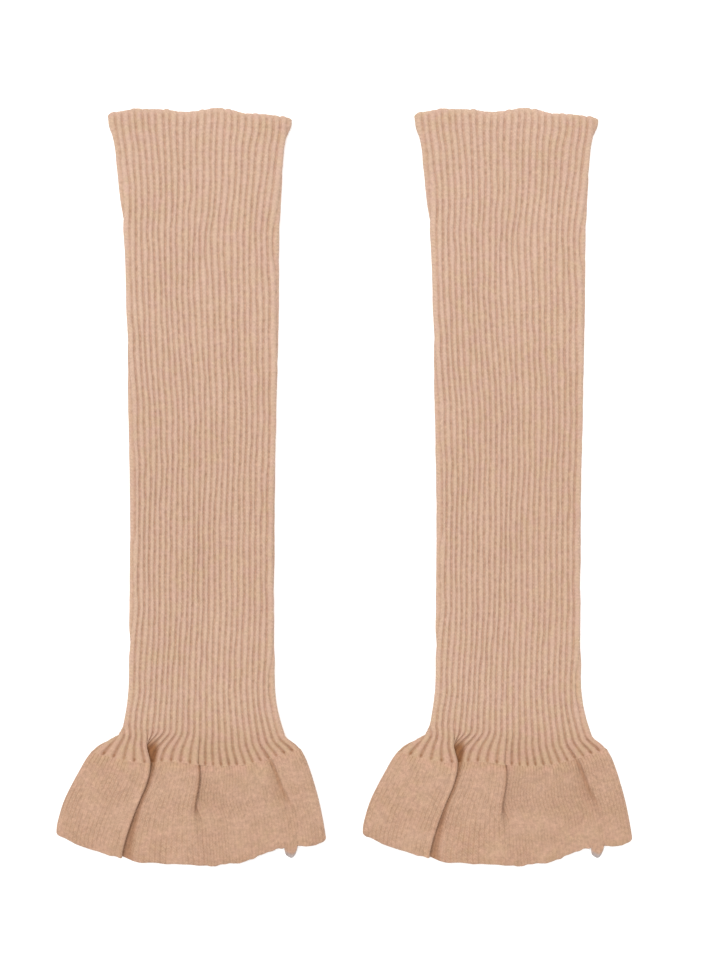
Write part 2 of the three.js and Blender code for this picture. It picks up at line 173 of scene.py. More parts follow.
# The seam: over this length the tube takes on the ruffle's form
SEAM_BLEND = 14.0
BLEND_POWER = 1.15
PITS = {"above": 0.9, "spread": 1.6, "uneven": 0.25, "power": 2.5}  # painted shade at the ends of the grooves
PIT_RAMP = {"from": 16, "over": 14, "until": 0.3, "shade": 0.4}  # painted shade that deepens down the grooves towards them
SEAM_TINT = {"tube": 26, "ruffle": 6}  # how far the seam's colour reaches to each side
SEAM_BAND_SHADE = {"shade": 0.26, "over": 5.0, "uneven": 0.4}  # painted shade in a band just under the ribs' ends
INNER_SHADE = {"tube": 0.6, "ruffle": 0.7}  # stands for the ribs' height on the inner walls

# Points across the meshes
RIB_POINTS = (0, 0.07, 0.17, 0.36, 0.64, 0.83, 0.93)
FIRST_RIB = -4
SIDE_TURN = {"outer": 0.3, "front": 0.9, "back": 0.6}  # ribs beside the ruffle's side edges
PLEAT_SHADOW_RIBS = (7.6, 9.4)
CREASE_RIBS = (21.6, 24.0)
TURN_STEP = 0.02  # ribs to each side that give the cloth's direction
# Rings down the meshes
TUBE_RINGS = {
    "cuff": 4, "cuff_count": 6, "from": 5.5, "to": 323, "step": 1.95,
    "flare": 324.5, "flare_count": 9, "mouth": 331.4, "mouth_count": 10, "seam": 2.4, "seam_count": 11,
}
TUBE_INNER_RINGS = {
    "cuff": 12, "cuff_count": 3, "from": 16, "to": 322, "step": 9.0, "flare_count": 14, "seam": 0.05,
}
RUFFLE_RINGS = {"seam": 4, "seam_count": 9, "from": 5, "step": 1.1, "hem": 5, "hem_count": 9}
RUFFLE_INNER_RINGS = {"seam": 4, "seam_count": 5, "from": 6, "step": 2.0, "hem": 3}

# Knit: columns of stitches for each rib of the count, and the height of one course
TUBE_STITCH = {"wales": 1, "course": 1.9, "wobble": 0.3, "slant": 0.62}
RUFFLE_STITCH = {"wales": 3, "course": 1.3, "wobble": 0.65, "slant": 0.9}

SLOPE_LIMIT = 2.5  # of a curve between rows, against the smaller step beside it
TINY = 1e-6
NEAR = 1e-3


def smooth(share):
    share = np.clip(share, 0, 1)
    return share * share * (3 - 2 * share)


def bump(away, spread):
    """A round bump, 1 at its middle and 0 beyond its spread."""
    share = np.minimum(np.abs(away) / spread, 1)
    return (1 + np.cos(math.pi * share)) / 2


def waves_at(table, x):
    return sum(drop * bump(x - place, spread) for place, drop, spread in table)


def swells_at(table, rib, share):
    total = 0
    for (rib0, rib1), (lift0, lift1), spread in table:
        middle = rib0 + (rib1 - rib0) * share
        total = total + (lift0 + (lift1 - lift0) * share) * bump(rib - middle, spread)
    return total


def rows_at(columns, rows, downs):
    """The rows at other places down the piece, on smooth curves through the table."""
    table = np.array(rows, float)
    knots, values = table[:, 0], table[:, 1:]
    slopes = np.gradient(values, knots, axis=0)
    steps = np.diff(values, axis=0) / np.diff(knots)[:, None]
    # No column overshoots between two rows
    before = np.vstack([steps[:1], steps])
    after = np.vstack([steps, steps[-1:]])
    limit = SLOPE_LIMIT * np.minimum(np.abs(before), np.abs(after)) * (before * after > 0)
    slopes = np.clip(slopes, -limit, limit)
    found = []
    for down in downs:
        i = int(np.clip(np.searchsorted(knots, down, side="right") - 1, 0, len(knots) - 2))
        span = knots[i + 1] - knots[i]
        t = (down - knots[i]) / span
        value = (
            (2 * t**3 - 3 * t**2 + 1) * values[i]
            + (t**3 - 2 * t**2 + t) * span * slopes[i]
            + (3 * t**2 - 2 * t**3) * values[i + 1]
            + (t**3 - t**2) * span * slopes[i + 1]
        )
        found.append(dict(zip(columns, (down, *value))))
    return found


class Section:
    """A line across the cloth in the XZ plane, walked piece by piece and kept as close points."""

    STEP = 0.06

    def __init__(self, x, z, heading):
        self.x, self.z, self.heading = x, z, heading
        self.length = 0.0
        self.points = [np.array([[0.0, x, z]])]

    def _add(self, s, x, z, heading):
        self.points.append(np.column_stack([self.length + s, x, z])[1:])
        self.length += float(s[-1])
        self.x, self.z, self.heading = float(x[-1]), float(z[-1]), heading

    def _steps(self, length):
        return np.linspace(0, length, max(2, int(length / self.STEP) + 2))

    def arc(self, radius, turn):
        if abs(turn) < TINY:
            return self
        s = self._steps(radius * abs(turn))
        side = math.copysign(1, turn)
        now = self.heading + side * s / radius
        x = self.x + side * radius * (np.sin(now) - math.sin(self.heading))
        z = self.z - side * radius * (np.cos(now) - math.cos(self.heading))
        self._add(s, x, z, self.heading + turn)
        return self

    def line(self, length):
        if length < TINY:
            return self
        s = self._steps(length)
        self._add(s, self.x + s * math.cos(self.heading), self.z + s * math.sin(self.heading), self.heading)
        return self

    def ease(self, to_x, to_z):
        run = to_x - self.x
        if run < TINY:
            return self
        s = self._steps(run)
        self._add(s, self.x + s, self.z + (to_z - self.z) * smooth(s / run), 0.0)
        return self

    def table(self):
        return np.vstack(self.points)


def ring_section(row, wall, pleats):
    """The closed middle line of one ring, and the ribs' count knotted to distances along it."""
    outside = wall["sheet"] / 2 + wall["relief"]
    side_radius = (row["front"] - outside) / 2
    left, right = row["left"] + outside, row["right"] - outside
    floor = outside + wall["sheet"] + wall["backing"]
    section = Section(left, outside + side_radius, math.pi / 2)
    knots = [(row["left_rib"], 0.0)]
    section.arc(side_radius, -math.pi / 2)
    for pleat in pleats:
        radius, cloth = pleat["radius"], pleat["cloth"]
        angle = min(math.radians(pleat["turn"]), cloth / (2 * radius))
        run = cloth - 2 * radius * angle
        drop = 2 * radius * (1 - math.cos(angle)) + run * math.sin(angle)
        outer = radius + wall["sheet"] / 2 + TUCKED_RELIEF * wall["relief"]
        overhang = outer * math.sin(min(angle, math.pi / 2))
        lying = smooth(pleat["turn"] / FLAT_TURN)
        low = row["front"] + (min(floor, row["front"]) - row["front"]) * lying
        section.ease(pleat["edge"] - overhang, low + drop)
        knots.append((pleat["ribs"][0], section.length))
        section.arc(radius, -angle).line(run).arc(radius, angle)
        knots.append((pleat["ribs"][1], section.length))
    if "middle" in row:
        section.ease(row["middle"], row["front"])
        knots.append((MIDDLE_GROOVE, section.length))
    section.ease(right - side_radius, row["front"]).arc(side_radius, -math.pi / 2)
    knots.append((row["right_rib"], section.length))
    section.arc(side_radius, -math.pi / 2).line(right - left - 2 * side_radius)
    section.arc(side_radius, -math.pi / 2)
    knots.append((row["left_rib"] + RIBS_ROUND, section.length))
    return section.table(), np.array(knots)


def rib_height(rib):
    """Height of the ribs, from 0 in a groove to 1 on the crest, as a round-backed rib in a narrow groove."""
    across = np.abs(2 * (rib - np.floor(rib)) - 1)
    return 1 - smooth((across - RIB_BACK) / (1 - RIB_BACK))


class Unevenness:
    """Slow hand-made unevenness over the ribs and down the piece, from -1 to 1, the same at every run."""

    SPARE_ROWS = 4

    def __init__(self, seed, ribs, step):
        self.ribs, self.step = ribs, step
        shape = (ribs, int(LENGTH / step) + self.SPARE_ROWS)
        self.values = np.random.default_rng(seed).uniform(-1, 1, shape)

    def at(self, rib, down):
        """Value at ribs of the count and one place down."""
        u = np.mod(np.asarray(rib, float) * self.ribs / RIBS_ROUND, self.ribs)
        v = np.clip(np.asarray(down, float) / self.step, 0, self.values.shape[1] - 2)
        i, k = np.floor(u).astype(int), np.floor(v).astype(int)
        fu, fv = smooth(u - i), smooth(v - k)
        i, after = i % self.ribs, (i + 1) % self.ribs
        near = self.values[i, k] * (1 - fv) + self.values[i, k + 1] * fv
        far = self.values[after, k] * (1 - fv) + self.values[after, k + 1] * fv
        return near * (1 - fu) + far * fu


# How far each groove strays, in ribs, by itself and with its neighbours
STRAYING = (
    (Unevenness(seed=11, ribs=50, step=11.0), 0.10),
    (Unevenness(seed=12, ribs=50, step=4.2), 0.055),
    (Unevenness(seed=13, ribs=10, step=24.0), 0.16),
)
GROOVE_DEPTH = Unevenness(seed=14, ribs=50, step=4.5)
CREST_HEIGHT = Unevenness(seed=15, ribs=50, step=7.0)
EDGE_WANDER = Unevenness(seed=16, ribs=100, step=3.4)
PIT_SHADE = Unevenness(seed=17, ribs=50, step=50.0)
SEAM_SHADE = Unevenness(seed=18, ribs=12, step=50.0)


def strayed(ribs, down, share):
    """The ribs' places in the count once each groove has strayed a little."""
    return ribs + share * sum(size * noise.at(ribs, down) for noise, size in STRAYING)


def wandering(ribs, away, edge):
    """How far an edge of the cloth wanders, at a distance away from it."""
    return EDGE_WANDER.at(ribs, edge["row"]) * bump(away, edge["reach"]) * edge["size"]


def down_at(row, x, on_front):
    """Where the points of one ring lie down the piece, with the waves of the edges."""
    across = (2 * x - row["left"] - row["right"]) / (row["right"] - row["left"])
    seam = bump(row["down"] - SEAM_LINE, WAVE_REACH["seam"])
    cuff = bump(row["down"], WAVE_REACH["cuff"])
    hem = bump(HEM_DOWN - row["down"], WAVE_REACH["hem"])
    return (
        row["down"]
        + row["tilt"] * (across + 1) / 2
        + row["hang"] * (1 - across**2)
        + (np.where(on_front, waves_at(SEAM_WAVES, x), 0) + waves_at(SHOULDER_WAVES, x)) * seam
        + waves_at(CUFF_WAVES, x) * cuff
        + waves_at(HEM_WAVES, x) * hem
    )


def line_at(row, wall, pleats, swells=()):
    """The ring's middle line, as a function from ribs of the count to x and z."""
    line, knots = ring_section(row, wall, pleats)
    share = np.clip((row["down"] - SEAM_DOWN) / (HEM_DOWN - SEAM_DOWN), 0, 1)

    def place(ribs):
        wrapped = row["left_rib"] + np.mod(ribs - row["left_rib"], RIBS_ROUND)
        distance = np.interp(wrapped, knots[:, 0], knots[:, 1])
        x = np.interp(distance, line[:, 0], line[:, 1])
        z = np.interp(distance, line[:, 0], line[:, 2])
        return x, z + np.where(wrapped < row["right_rib"], swells_at(swells, wrapped, share), 0)

    return place


def tip_form(away):
    """How far the small tip hangs past the hem, from 0 to 1: blunt at its end, eased into the hem."""
    blunt = np.clip(1 - away**4, 0, 1) ** TUCK_TIP["power"]
    return (1 - TUCK_TIP["eased"]) * blunt + TUCK_TIP["eased"] * bump(away, TUCK_TIP["eased_spread"])


def ring_points(row, place, ribs, offset, tip=0.0):
    """Points of one ring at the given ribs, lifted off its middle line, and drawn down at the tip."""
    x, z = place(ribs)
    x0, z0 = place(ribs - TURN_STEP)
    x1, z1 = place(ribs + TURN_STEP)
    along = np.hypot(x1 - x0, z1 - z0)
    px = x - (z1 - z0) / along * offset
    pz = z + (x1 - x0) / along * offset
    wrapped = row["left_rib"] + np.mod(ribs - row["left_rib"], RIBS_ROUND)
    on_front = wrapped < row["right_rib"]
    form = tip_form((wrapped - TUCK_TIP["rib"]) / TUCK_TIP["spread"])
    pz = pz - tip * TUCK_TIP["droop"] * form
    tuck = tip * TUCK_TIP["drop"] * form
    return np.column_stack([px, LENGTH / 2 - down_at(row, px, on_front) - tuck, pz])


def grid_mesh(name, rings, ribs, courses, shades, x, sharp_ring):
    """A closed band of cloth from rings that go down its outside and back up its inside."""
    count = len(ribs)
    points = np.vstack(rings)
    points[:, 0] += x
    loops, uvs = [], []
    after = np.append(ribs[1:], ribs[0] + RIBS_ROUND)
    near = np.arange(count)
    far = (near + 1) % count
    for r in range(len(rings)):
        s = (r + 1) % len(rings)
        a, b, c, d = r * count + near, s * count + near, s * count + far, r * count + far
        loops.append(np.column_stack([a, b, c, d]))
        # The last strip closes the band, and keeps to its own course
        upper = np.full(count, courses[r])
        lower = np.full(count, courses[s] if s else courses[r])
        uvs.append(np.column_stack([ribs, upper, ribs, lower, after, lower, after, upper]))
    loops = np.vstack(loops).astype(np.int32)
    uvs = np.vstack(uvs)
    mesh = bpy.data.meshes.new(name)
    mesh.vertices.add(len(points))
    mesh.vertices.foreach_set("co", (points * MM).ravel())
    mesh.loops.add(loops.size)
    mesh.loops.foreach_set("vertex_index", loops.ravel())
    mesh.polygons.add(len(loops))
    mesh.polygons.foreach_set("loop_start", np.arange(0, loops.size, 4, dtype=np.int32))
    mesh.update(calc_edges=True)
    layer = mesh.uv_layers.new(name="Knit")
    layer.data.foreach_set("uv", uvs.ravel())
    for shade, values in shades.items():
        attribute = mesh.attributes.new(shade, "FLOAT", "POINT")
        attribute.data.foreach_set("value", np.concatenate(values).astype(np.float32))
    mesh.shade_smooth()
    ends = np.empty(len(mesh.edges) * 2, np.int32)
    mesh.edges.foreach_get("vertices", ends)
    sharp = (ends.reshape(-1, 2) // count == sharp_ring).all(axis=1)
    mesh.attributes.new("sharp_edge", "BOOLEAN", "EDGE").data.foreach_set("value", sharp)
    piece = bpy.data.objects.new(name, mesh)
    bpy.context.collection.objects.link(piece)
    return piece


def merged(*runs):
    """Places down a piece, in order and without near doubles."""
    places = np.unique(np.concatenate([np.asarray(run, float) for run in runs]))
    keep = np.append(True, np.diff(places) > NEAR)
    return places[keep]


def rim_angles(steps):
    return np.linspace(0, math.pi / 2, steps + 1)


def beside_pleat(ribs, down):
    """Share of the pleat's shade on the cloth that lies under its edge."""
    downs, fulls, fades = np.array(PLEAT_SHADE).T
    full, fade = np.interp(down, downs, fulls), np.interp(down, downs, fades)
    return 1 - smooth((ribs - full) / fade)


def tube_place(row):
    """The tube's middle line, which turns into the ruffle's, pleats and all, at the seam."""
    own = line_at(row, RIBBED, [])
    share = float(smooth((row["down"] - SEAM_DOWN + SEAM_BLEND) / SEAM_BLEND)) ** BLEND_POWER
    if share == 0:
        return own, share
    seam_row = rows_at(RUFFLE_COLUMNS, RUFFLE_ROWS, [SEAM_DOWN])[0]
    joined = ruffle_place({**seam_row, "left": row["left"], "right": row["right"]})

    def place(ribs):
        (x, z), (to_x, to_z) = own(ribs), joined(ribs)
        return x + (to_x - x) * share, z + (to_z - z) * share

    return place, share


def rib_relief(down):
    """Share of the ribs' relief at one place down the tube, less at both its ends."""
    from_cuff = (down - TUBE_ROWS[0][0] - CUFF_RELIEF["from"]) / CUFF_RELIEF["over"]
    relief = CUFF_RELIEF["share"] + (1 - CUFF_RELIEF["share"]) * smooth(from_cuff)
    return relief * (1 - smooth((down - SEAM_DOWN + SEAM_RELIEF_FADE) / SEAM_RELIEF_FADE))


def tube_shade(ribs, height, down):
    """Painted shade at the ends of the grooves, down the grooves near the seam, and in the mouth of the
    large pleat, from 0 to 1 and a little more.
    """
    to_seam = down - SEAM_DOWN
    strong = 1 - PITS["uneven"] + PITS["uneven"] * PIT_SHADE.at(np.round(ribs), 0)
    ends = strong * bump(to_seam + PITS["above"], PITS["spread"])
    ramp = PIT_RAMP["shade"] * smooth((to_seam + PIT_RAMP["from"]) / PIT_RAMP["over"])
    ramp = ramp * (to_seam < -PIT_RAMP["until"])
    mouth = MOUTH["shade"] * smooth((ribs - MOUTH["rib"]) / MOUTH["ribs"])
    mouth = mouth * smooth((down - MOUTH["down"]) / MOUTH["reach"]) * beside_pleat(ribs, down)
    return np.maximum(np.maximum(ends, ramp) * (1 - height) ** PITS["power"], mouth)


def tube_mesh(name, x):
    """The ribbed tube, from its cuff to the seam with the ruffle."""
    first = np.arange(FIRST_RIB, FIRST_RIB + RIBS_ROUND)
    ribs = (first[:, None] + np.array(RIB_POINTS)[None, :]).ravel()
    height = rib_height(ribs)
    cuff, seam = TUBE_ROWS[0][0], SEAM_DOWN
    cuff_end = cuff + CUFF_EDGE
    outer, inner = TUBE_RINGS, TUBE_INNER_RINGS
    outer_downs = merged(
        np.linspace(cuff_end, cuff_end + outer["cuff"], outer["cuff_count"]),
        np.arange(cuff_end + outer["from"], outer["to"], outer["step"]),
        np.linspace(outer["flare"], outer["mouth"], outer["flare_count"]),
        np.linspace(outer["mouth"], seam - outer["seam"], outer["mouth_count"]),
        np.linspace(seam - outer["seam"], seam, outer["seam_count"]),
    )
    inner_downs = merged(
        np.linspace(cuff_end, inner["cuff"], inner["cuff_count"]),
        np.arange(inner["from"], inner["to"], inner["step"]),
        np.linspace(outer["flare"], seam - inner["seam"], inner["flare_count"]),
    )
    rings, courses, heights, painted_shades, seams = [], [], [], [], []

    def add(row, outside, share):
        down = row["down"]
        place, joined = tube_place(row)
        relief = rib_relief(down)
        uneven = RIB_DEPTH * (1 + GROOVE_UNEVEN * GROOVE_DEPTH.at(np.round(ribs), down))
        lift = CREST_UNEVEN * CREST_HEIGHT.at(ribs, down) * (1 - joined)
        # Inside the pleat the ribs are pressed flat
        beside = ribs - sum(LARGE_PLEAT) / 2 - PRESSED["beside"]
        taken = np.minimum(1, PRESSED["strength"] * bump(beside, PRESSED["ribs"]))
        taken = taken * smooth(PRESSED["early"] * joined) * (1 - TUCKED_RELIEF)
        groove = (1 - height) * relief * uneven * RIBBED["relief"]
        crest = RIBBED["sheet"] / 2 + RIBBED["relief"] + lift
        crest = crest + (PLAIN["sheet"] / 2 - crest) * joined
        offset = np.full(len(ribs), -RIBBED["sheet"] / 2 * share)
        if outside:
            offset = (crest - groove - taken * (1 - joined) * (RIBBED["relief"] - groove)) * share
        steady = 1 - STEADY["share"] * smooth((down - STEADY["from"]) / STEADY["over"])
        points = ring_points(row, place, strayed(ribs, down, (1 - joined) * steady), offset)
        teeth = CUFF_TEETH["size"] * (height - 0.5) * bump(down - cuff, CUFF_TEETH["reach"])
        points[:, 1] += wandering(ribs, down - cuff, CUFF_WANDER) + teeth
        rings.append(points)
        courses.append(down / TUBE_STITCH["course"])
        heights.append(1 - (1 - height) * relief if outside else np.full(len(ribs), INNER_SHADE["tube"]))
        painted_shades.append(tube_shade(ribs, height, down) if outside else np.zeros(len(ribs)))
        seams.append(np.full(len(ribs), smooth((down - seam + SEAM_TINT["tube"]) / SEAM_TINT["tube"])))

    angles = rim_angles(RIM_STEPS)
    rim_downs = [cuff + CUFF_EDGE * (1 - math.sin(angle)) for angle in angles]
    rim = list(zip(rows_at(TUBE_COLUMNS, TUBE_ROWS, rim_downs), angles))
    for row, angle in rim[::-1]:
        add(row, True, max(math.cos(angle), THIN))
    for row in rows_at(TUBE_COLUMNS, TUBE_ROWS, outer_downs)[1:]:
        add(row, True, 1)
    seam_ring = len(rings) - 1
    for row in rows_at(TUBE_COLUMNS, TUBE_ROWS, inner_downs)[::-1]:
        add(row, False, 1)
    for row, angle in rim[1:-1]:
        add(row, False, max(math.cos(angle), THIN))
    shades = {"rib": heights, "painted_shade": painted_shades, "seam": seams}
    return grid_mesh(name, rings, ribs, courses, shades, x, seam_ring)


def ruffle_place(row):
    """The ruffle's middle line, with its two pleats."""
    large = {name: row[name] for name in ("edge", "turn", "cloth", "radius")}
    short = {name: row["short_" + name] for name in ("edge", "turn", "cloth")}
    pleats = [{"ribs": LARGE_PLEAT, **large}, {**SHORT_PLEAT, **short}]
    left, right = RUFFLE_RIBS
    return line_at({**row, "left_rib": left, "right_rib": right}, PLAIN, pleats, RUFFLE_SWELLS)


def ruffle_columns():
    """Ribs of the count at which the ruffle has points, closer at its turns, pleats and crease."""
    left, right = RUFFLE_RIBS
    # Where each run of points starts and how many it has; it ends where the next one starts
    runs = (
        (left - SIDE_TURN["outer"], 18),
        (left + SIDE_TURN["front"], 42),
        (LARGE_PLEAT[0], 84),
        (LARGE_PLEAT[1], 12),
        (PLEAT_SHADOW_RIBS[0], 36),
        (PLEAT_SHADOW_RIBS[1], 24),
        (SHORT_PLEAT["ribs"][0], 34),
        (SHORT_PLEAT["ribs"][1], 64),
        (CREASE_RIBS[0], 80),
        (CREASE_RIBS[1], 14),
        (right - SIDE_TURN["back"], 22),
        (right + SIDE_TURN["front"], 110),
        (left + RIBS_ROUND - SIDE_TURN["front"], 8),
    )
    ends = [start for start, count in runs[1:]] + [runs[0][0] + RIBS_ROUND]
    shares = [(start, end, np.arange(count) / count) for (start, count), end in zip(runs, ends)]
    return np.concatenate([start + (end - start) * share for start, end, share in shares])


def crease_form(ribs, way, down):
    """The crease's depth from 0 to 1, and how far each rib lies at its left."""
    start, end = CREASE["ribs"]
    left_of = start + (end - start) * way / CREASE["reach"] - ribs
    form = bump(left_of, CREASE["spread"])
    form = form * (1 - smooth(way / CREASE["reach"])) ** CREASE["power"]
    return form * smooth((down - SEAM_DOWN + CREASE["above"]) / CREASE["rise"]), left_of


def ruffle_shade(ribs, row, way, turned):
    """How much painted shade the ruffle's outside has, from 0 to 1: in the pleats and the crease, at the
    crease's left, and in a band under the ribs' ends.
    """
    down = row["down"]
    crease, left_of = crease_form(ribs, way, down)
    inside = smooth((turned - UNDER_PLEAT["from"]) / UNDER_PLEAT["over"]) * beside_pleat(ribs, down)
    short = bump(ribs - sum(SHORT_PLEAT["ribs"]) / 2, SHORT_SHADE["ribs"])
    short = short * (1 - smooth((way - SHORT_SHADE["from"]) / SHORT_SHADE["over"]))
    folded = np.minimum(1, SHORT_SHADE["strength"] * short)
    left_of = np.clip(left_of / CREASE_SIDE_SHADE["ribs"], -1, 1)
    side_shade = np.where(left_of > 0, bump(left_of, 1.0), bump(left_of, CREASE_SIDE_SHADE["right"]))
    side_shade = side_shade * bump(down - CREASE_SIDE_SHADE["down"], CREASE_SIDE_SHADE["reach"])
    band_shade = 1 - SEAM_BAND_SHADE["uneven"] + SEAM_BAND_SHADE["uneven"] * SEAM_SHADE.at(ribs, 0)
    band_shade = band_shade * (1 - smooth((down - SEAM_DOWN) / SEAM_BAND_SHADE["over"]))
    pleats = np.maximum(UNDER_PLEAT["shade"] * inside, SHORT_SHADE["shade"] * folded)
    shade = CREASE["shade"] * crease + pleats + CREASE_SIDE_SHADE["shade"] * side_shade + SEAM_BAND_SHADE["shade"] * band_shade
    return np.clip(shade, 0, 1)


def ruffle_mesh(name, x):
    """The ruffle, with its pleats, swells and the small tip past the hem."""
    left, right = RUFFLE_RIBS
    ribs = ruffle_columns()
    height = rib_height(ribs)
    seam, hem = SEAM_DOWN, HEM_DOWN
    outer, inner = RUFFLE_RINGS, RUFFLE_INNER_RINGS
    outer_downs = merged(
        np.linspace(seam, seam + outer["seam"], outer["seam_count"]),
        np.arange(seam + outer["from"], hem - outer["hem"], outer["step"]),
        np.linspace(hem - outer["hem"], hem - HEM_EDGE, outer["hem_count"]),
    )
    inner_downs = merged(
        np.linspace(seam, seam + inner["seam"], inner["seam_count"]),
        np.arange(seam + inner["from"], hem - inner["hem"], inner["step"]),
        [hem - HEM_EDGE],
    )
    rings, courses, heights, painted_shades, seams, pales, lights = [], [], [], [], [], [], []
    pale_across = bump(ribs - TUCK_TIP["rib"], TUCK_TIP["spread"]) ** PALE_END["power"]

    def add(row, outside, share):
        down = row["down"]
        way = np.clip((down - seam) / (hem - seam), 0, 1)
        # 0 where the large pleat begins to turn, 1 after a quarter turn
        cloth = (ribs - LARGE_PLEAT[0]) * row["cloth"] / (LARGE_PLEAT[1] - LARGE_PLEAT[0])
        turned = cloth / (row["radius"] * math.pi / 2)
        offset = np.full(len(ribs), -PLAIN["sheet"] / 2)
        if outside:
            ripple = SEAM_RIPPLE["height"] * (1 - smooth((down - seam) / SEAM_RIPPLE["over"]))
            ripple = ripple * smooth((down - seam) / SEAM_RIPPLE["rise"])
            crease = crease_form(ribs, way, down)[0]
            offset = PLAIN["sheet"] / 2 + ripple * (height - SEAM_RIPPLE["middle"])
            offset = offset - CREASE["depth"] * crease
        tip = smooth((down - hem + TUCK_TIP["reach"]) / TUCK_TIP["reach"])
        row = {**row, "left_rib": left, "right_rib": right}
        points = ring_points(row, ruffle_place(row), ribs, offset * share, tip)
        points[:, 1] += wandering(ribs, down - hem, HEM_WANDER)
        rings.append(points)
        courses.append(down / RUFFLE_STITCH["course"])
        heights.append(np.full(len(ribs), 1.0 if outside else INNER_SHADE["ruffle"]))
        painted_shades.append(ruffle_shade(ribs, row, way, turned) if outside else np.zeros(len(ribs)))
        # painted highlight along the large pleat's outer edge
        lights.append(bump(turned + PLEAT_EDGE_HIGHLIGHT["before"], PLEAT_EDGE_HIGHLIGHT["spread"]))
        seams.append(np.full(len(ribs), 1 - smooth((down - seam) / SEAM_TINT["ruffle"])))
        pales.append(pale_across * smooth((down - hem + PALE_END["from"]) / PALE_END["over"]))

    for row in rows_at(RUFFLE_COLUMNS, RUFFLE_ROWS, outer_downs):
        add(row, True, 1)
    angles = rim_angles(RIM_STEPS)[1:]
    rim_downs = [hem - HEM_EDGE + HEM_EDGE * math.sin(angle) for angle in angles]
    rim = list(zip(rows_at(RUFFLE_COLUMNS, RUFFLE_ROWS, rim_downs), angles))
    for row, angle in rim:
        add(row, True, max(math.cos(angle), THIN))
    for row, angle in rim[-2::-1]:
        add(row, False, math.cos(angle))
    for row in rows_at(RUFFLE_COLUMNS, RUFFLE_ROWS, inner_downs)[::-1]:
        add(row, False, 1)
    shades = {"rib": heights, "painted_shade": painted_shades, "seam": seams, "pale": pales, "painted_edge_highlight": lights}
    return grid_mesh(name, rings, ribs, courses, shades, x, 0)


class Nodes:
    """Short names for building a material's nodes."""

    def __init__(self, material):
        material.use_nodes = True
        self.tree = material.node_tree
        self.tree.nodes.clear()

    def node(self, kind, **inputs):
        made = self.tree.nodes.new(kind)
        for name, value in inputs.items():
            self.put(made.inputs[name.replace("_", " ")], value)
        return made

    def put(self, socket, value):
        if isinstance(value, bpy.types.NodeSocket):
            self.tree.links.new(value, socket)
        else:
            socket.default_value = value

    def math(self, operation, a, b=0.0, c=None):
        made = self.tree.nodes.new("ShaderNodeMath")
        made.operation = operation
        self.put(made.inputs[0], a)
        self.put(made.inputs[1], b)
        if c is not None:
            self.put(made.inputs[2], c)
        return made.outputs[0]

    def attribute(self, name):
        made = self.tree.nodes.new("ShaderNodeAttribute")
        made.attribute_name = name
        return made.outputs["Fac"]

    def noise(self, vector, scale, detail=2.0, roughness=0.5):
        made = self.node("ShaderNodeTexNoise", Vector=vector, Scale=scale, Detail=detail)
        made.inputs["Roughness"].default_value = roughness
        return made.outputs["Fac"]

    def remap(self, value, low, high, to_low, to_high):
        made = self.node("ShaderNodeMapRange", Value=value, From_Min=low, From_Max=high)
        self.put(made.inputs["To Min"], to_low)
        self.put(made.inputs["To Max"], to_high)
        return made.outputs["Result"]

    def mix(self, share, a, b, blend="MIX"):
        made = self.tree.nodes.new("ShaderNodeMix")
        made.data_type = "RGBA"
        made.blend_type = blend
        self.put(made.inputs["Factor"], share)
        self.put(made.inputs["A"], a)
        self.put(made.inputs["B"], b)
        return made.outputs["Result"]


# Patterns of the yarn: scale for each metre, detail and roughness
WOBBLE = (420.0, 2.0, 0.5)
FIBRES = (2600.0, 4.0, 0.65)
MOTTLE = (150.0, 3.0, 0.55)
CLOUD = (38.0, 2.0, 0.5)
FLECKS = (1300.0, 1.0, 0.5)
PATCHES = (75.0, 2.0, 0.5)
FUZZ = (3.0, 0.6)  # detail and roughness; each knit has its own scale
# How a pattern's values become a share: from low, from high, to low, to high
CENTRE_SPAN = (0.0, 0.22, 0.55, 1.0)
DASH_SPAN = (0.36, 0.66, 0.0, 1.0)
DASH_TONE_SPAN = (0.0, 1.0, 0.35, 1.0)
FLECK_SPAN = (0.62, 0.74, 0.0, 1.0)
PATCH_SPAN = (0.38, 0.60)
MOTTLE_SPAN = (0.38, 0.62, 0.0, 1.0)
CLOUD_SPAN = (0.35, 0.65, 0.0, 0.5)
STREAK_SPAN = (0.4, 0.7, 0.0, 0.4)
FAR_DOWN_SPAN = (90.0, 200.0, 0.0, 1.0)
LINE_SPAN = (0.25, 0.75)
LINE_WEAR_SPAN = (0.35, 0.6, 0.3, 1.0)
FUZZ_SPAN = (0.3, 0.7)
FIBRE_TONE_SPAN = (0.3, 0.7, 0.95, 1.05)
# Shares in the knit's look
COURSE_WOBBLE = 0.9
COLUMN_POWER = 3.0
SEAM_PLAIN = 0.7  # share of the stitches' shade that the seam takes away
DASH_COURSES = 0.75  # the dashes' step along a groove, against a course
STREAK_COURSES = 0.12
STREAK_LAYER = 7.0
FLECK_SHARE = 0.35
GROOVE_POWER = 1.3
# how far full painted shade takes the colour towards the painted shade colour
PIT_SHARE = 0.8
SHADE_MAKE_UP = 0.4  # brightens the yarn by as much as its shadows darken it
# how much the painted highlight on the large pleat's edge lightens the yarn
EDGE_HIGHLIGHT_SHARE = 0.12
SUNK_COLOUR = (-0.8, -1.05, -1.2)  # the yarn's warm shadow takes least from the red
# Heights in the bump, in metres
DASH_DEPTH = 0.0002
FIBRE_HEIGHT = 0.0001
FUZZ_HEIGHT = 0.00022
CLOTH_SURFACE = {
    "Roughness": 0.92,
    "Specular IOR Level": 0.25,
    "Sheen Weight": 0.12,
    "Sheen Roughness": 0.5,
    "Sheen Tint": (1.0, 0.9, 0.8, 1.0),
}


